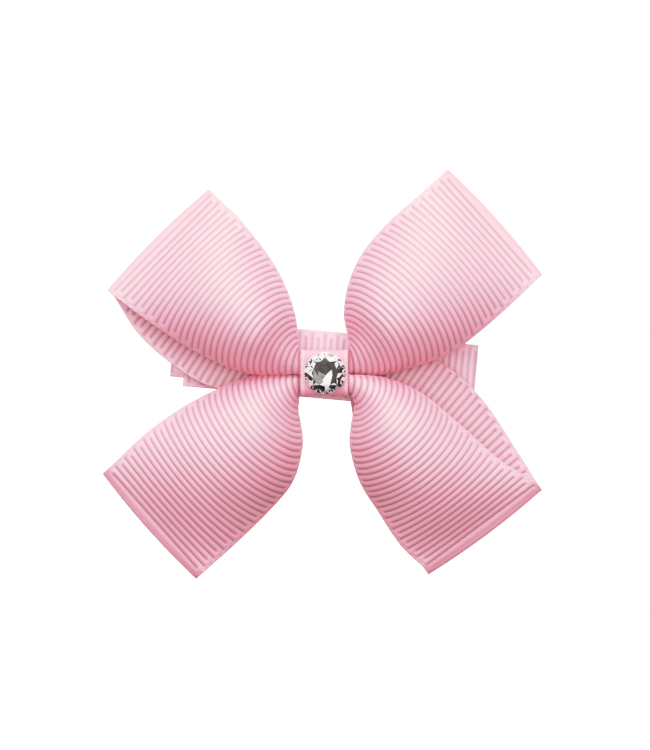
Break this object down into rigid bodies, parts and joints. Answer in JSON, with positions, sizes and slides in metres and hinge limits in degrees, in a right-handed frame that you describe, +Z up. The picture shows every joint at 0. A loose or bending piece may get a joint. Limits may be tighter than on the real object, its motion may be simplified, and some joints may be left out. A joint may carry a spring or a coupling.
{
  "type": "hair bow",
  "caption": "Gathered grosgrain ribbon hair bow with a faceted stone at its waist, on a ribbon-lined sprung alligator clip.",
  "frame": {"origin": "in the mouth of the clip, on the line where hair is gripped, straight behind the middle of the bow", "axes": "+X to the right as seen from the front, +Y backwards into the hair, +Z up as worn; the front of the bow faces -Y"},
  "size_m": [0.0686, 0.024, 0.0638],
  "materials": {
    "ribbon": "ribbed grosgrain, matte with a soft sheen",
    "wrap_ribbon": "smooth narrow ribbon",
    "lining": "ribbed narrow grosgrain",
    "thread": "polyester thread",
    "crystal": "polished facets",
    "foil": "silver foil",
    "glue": "clear hot-melt glue",
    "clip_steel": "nickel-plated pressed steel",
    "spring_wire": "drawn spring wire"
  },
  "bodies": {
    "bow_and_upper_arm": {"outer_ribbon": "ribbon", "inner_ribbon": "ribbon", "centre_wrap": "wrap_ribbon", "waist_thread": "thread", "crystal": "crystal", "crystal_foil": "foil", "crystal_glue": "glue", "bow_glue": "glue", "upper_arm": "clip_steel", "upper_arm_lining": "lining", "hinge_pin": "clip_steel", "clip_spring": "spring_wire"},
    "lower_jaw": {"lower_arm": "clip_steel", "lever_lining": "lining"}
  },
  "joints": [
    {"name": "jaw_hinge", "type": "hinge", "parent": "bow_and_upper_arm", "child": "lower_jaw", "pos_m": [-0.00946, 0.0032, 0.00086], "axis": [0.0906, 0, 0.9959], "range_deg": [0, 30], "stiffness_Nm_per_rad": 0.06, "springref_deg": -20.05, "deforming": ["clip_spring"]}
  ]
}
